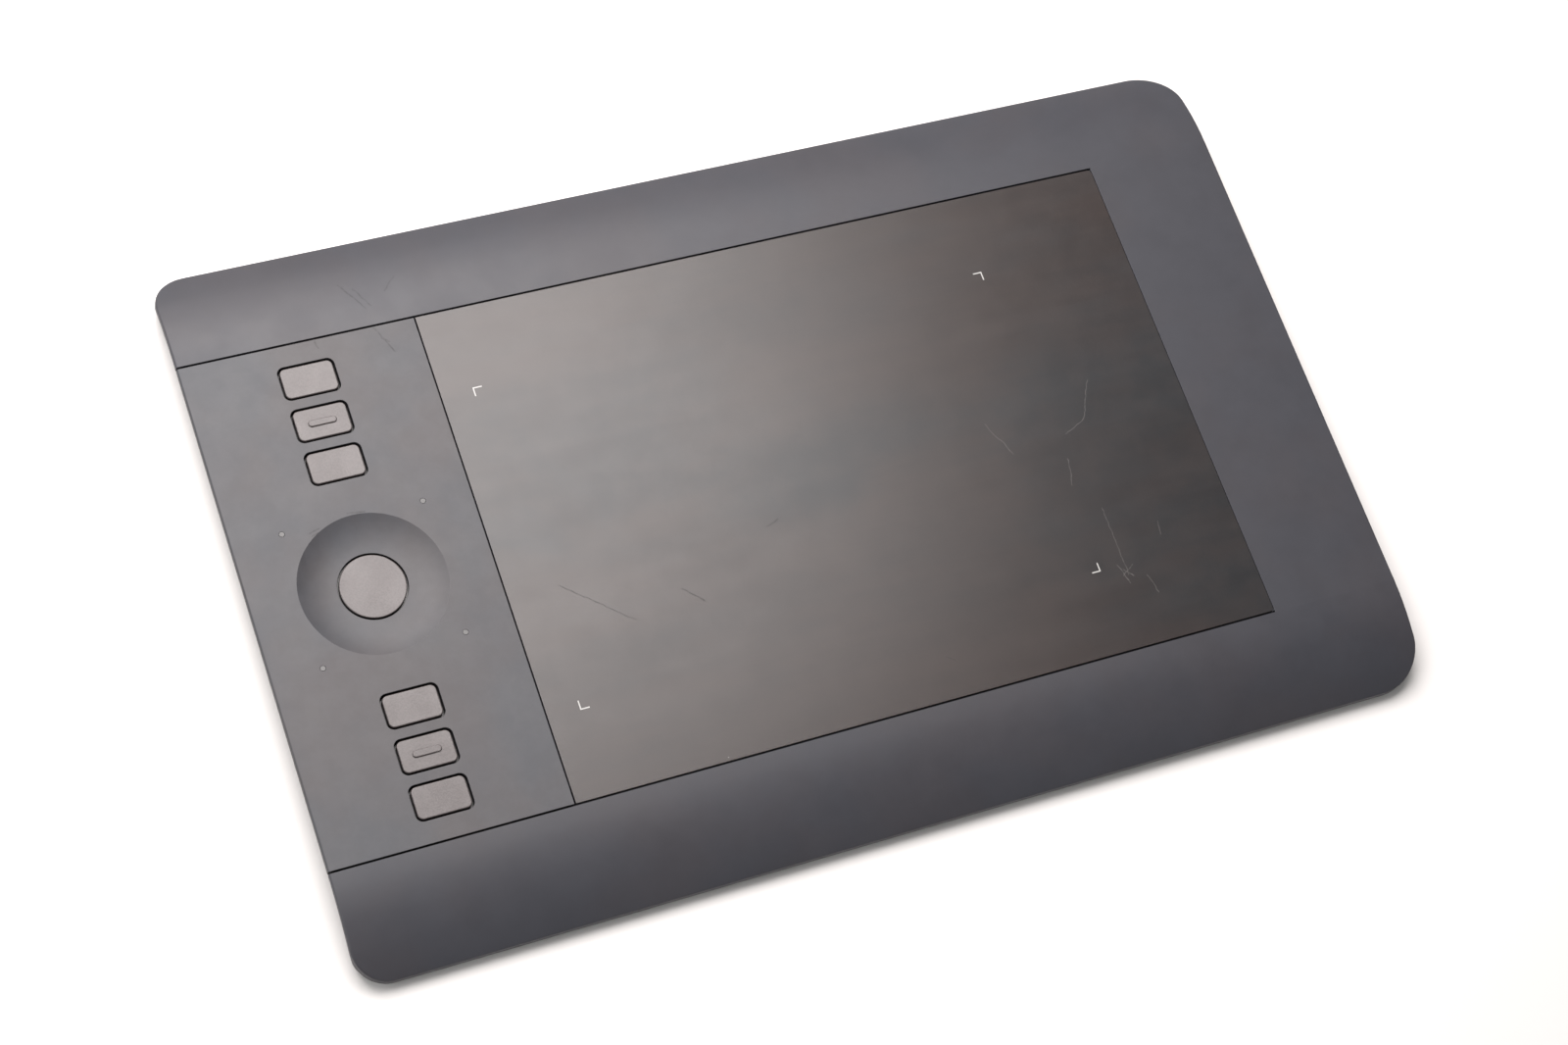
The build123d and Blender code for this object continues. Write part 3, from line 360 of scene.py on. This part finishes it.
def film(name, colour, roughness, size=6 * MM):
    """Thin film, foil or flat cable: soft ripples and slight unevenness of colour."""
    s = Shader(name)
    ripple = s.noise(size, 3.0)
    s.drive("Base Color", s.mix(ripple, shade(colour, 0.85), shade(colour, 1.12)))
    s.drive("Roughness", s.remap(ripple, 0.3, 0.7, roughness - 0.05, roughness + 0.08))
    s.drive("Normal", s.bump(ripple, 0.03 * MM))
    return s


def metal(name, colour, roughness):
    """Sheet or turned metal with a fine drawn grain."""
    s = Shader(name)
    grain = s.noise(0.3 * MM, 4.0, 0.6, s.stretched((0.06, 1.0, 1.0)))
    s.drive("Base Color", s.mix(grain, shade(colour, 0.85), shade(colour, 1.1)))
    s.set(Metallic=1.0)
    s.drive("Roughness", s.remap(grain, 0.3, 0.7, roughness - 0.06, roughness + 0.08))
    s.drive("Normal", s.bump(grain, 0.004 * MM))
    return s


def rubber():
    s = Shader("foot_rubber")
    grain = s.noise(0.5 * MM, 4.0, 0.7)
    s.drive("Base Color", s.mix(grain, *RUBBER))
    s.drive("Roughness", s.remap(grain, 0.3, 0.7, 0.75, 0.88))
    s.drive("Normal", s.bump(grain, 0.04 * MM))
    return s


def materials_by_slot():
    """One material for each slot name in the record."""
    return {
        "case_plastic": moulded_plastic(
            "case_plastic", CASE_COLOUR, 0.51, soiling=0.10, marks=CASE_DARK_LINES),
        "base_plastic": moulded_plastic(
            "base_plastic", BASE_COLOUR, 0.56, grain=0.5 * MM, depth=0.03 * MM, dust=0.1),
        "panel_plastic": key_panel_plastic(),
        "key_plastic": key_plastic(),
        "surface_sheet": drawing_sheet(),
        "white_lens": lens("white_lens", WHITE_LENS, 0.5 * MM, 0.35),
        "smoke_lens": lens("smoke_lens", SMOKE_LENS, 0.4 * MM, 0.30),
        "circuit_board": circuit_board(),
        "sensor_film": film("sensor_film", (0.32, 0.20, 0.07), 0.35),
        "shield_steel": metal("shield_steel", (0.60, 0.60, 0.60), 0.35),
        "switch_metal": metal("switch_metal", (0.55, 0.55, 0.54), 0.30),
        "chip_epoxy": moulded_plastic("chip_epoxy", (0.018, 0.018, 0.019), 0.45, dust=0.0),
        "connector_plastic": moulded_plastic("connector_plastic", (0.62, 0.59, 0.52), 0.45, dust=0.0),
        "flat_cable": film("flat_cable", (0.62, 0.64, 0.66), 0.35, size=1.0 * MM),
        "screw_steel": metal("screw_steel", (0.30, 0.30, 0.31), 0.32),
        "connector_steel": metal("connector_steel", (0.72, 0.72, 0.71), 0.22),
        "battery_wrap": film("battery_wrap", (0.030, 0.032, 0.036), 0.30),
        "contact_block": moulded_plastic("contact_block", (0.030, 0.030, 0.030), 0.5, dust=0.0),
        "module_plastic": moulded_plastic("module_plastic", (0.034, 0.034, 0.035), 0.5, dust=0.0),
        "foot_rubber": rubber(),
        "label_film": film("label_film", (0.33, 0.33, 0.34), 0.40, size=2.0 * MM),
    }


def dress_nodes():
    """Gives every CAD node the material of its slot."""
    finishes = materials_by_slot()
    for part in frame["record"]["subparts"]:
        piece = frame["nodes"][part["node"]]
        piece.data.materials.clear()
        piece.data.materials.append(finishes[part["material_slot"]].material)


# ---- stage ----
def floor_material():
    s = Shader("floor_paper")
    fibre = s.noise(1.2 * MM, 4.0, 0.6)
    s.drive("Base Color", s.mix(fibre, shade(FLOOR_COLOUR, 0.99), shade(FLOOR_COLOUR, 1.01)))
    s.set(Roughness=FLOOR_ROUGHNESS, Specular_IOR_Level=FLOOR_SPECULAR)
    return s


def make_floor():
    half = FLOOR_SIZE / 2
    mesh = bpy.data.meshes.new("floor")
    corners = [(sx * half, sy * half, FLOOR_Z) for sx, sy in ((-1, -1), (1, -1), (1, 1), (-1, 1))]
    mesh.from_pydata(corners, [], [(0, 1, 2, 3)])
    floor = bpy.data.objects.new("floor", mesh)
    bpy.context.scene.collection.objects.link(floor)
    mesh.materials.append(floor_material().material)


def looking(place, target, roll=0.0):
    """World matrix of a camera or light at a place, facing a target."""
    turn = (target - place).to_track_quat("-Z", "Y").to_matrix().to_4x4()
    return Matrix.Translation(place) @ turn @ Matrix.Rotation(roll, 4, "Z")


def make_light(name, place, size, power, colour):
    light = bpy.data.lights.new(name, "AREA")
    light.shape = "RECTANGLE"
    light.size, light.size_y = size
    light.energy = power
    light.color = colour
    holder = bpy.data.objects.new(name, light)
    holder.matrix_world = looking(place, LIGHT_TARGET)
    bpy.context.scene.collection.objects.link(holder)


def make_world():
    world = bpy.data.worlds.new("studio")
    world.use_nodes = True
    background = world.node_tree.nodes["Background"]
    background.inputs["Color"].default_value = (*WORLD_COLOUR, 1.0)
    background.inputs["Strength"].default_value = WORLD_STRENGTH
    bpy.context.scene.world = world


def make_camera():
    data = bpy.data.cameras.new("camera")
    data.lens = CAMERA_LENS
    data.sensor_width = SENSOR_WIDTH
    camera = bpy.data.objects.new("camera", data)
    camera.matrix_world = looking(CAMERA_PLACE, CAMERA_TARGET, CAMERA_ROLL)
    bpy.context.scene.collection.objects.link(camera)
    bpy.context.scene.camera = camera


make_camera()
make_floor()
make_light("softbox", SOFTBOX_PLACE, SOFTBOX_SIZE, SOFTBOX_POWER, SOFTBOX_COLOUR)
make_light("front_fill", FRONT_FILL_PLACE, FILL_SIZE, FRONT_FILL_POWER, FILL_COLOUR)
make_light("left_fill", LEFT_FILL_PLACE, FILL_SIZE, LEFT_FILL_POWER, FILL_COLOUR)
make_world()
dress_nodes()
bpy.context.scene.view_settings.view_transform = "Standard"
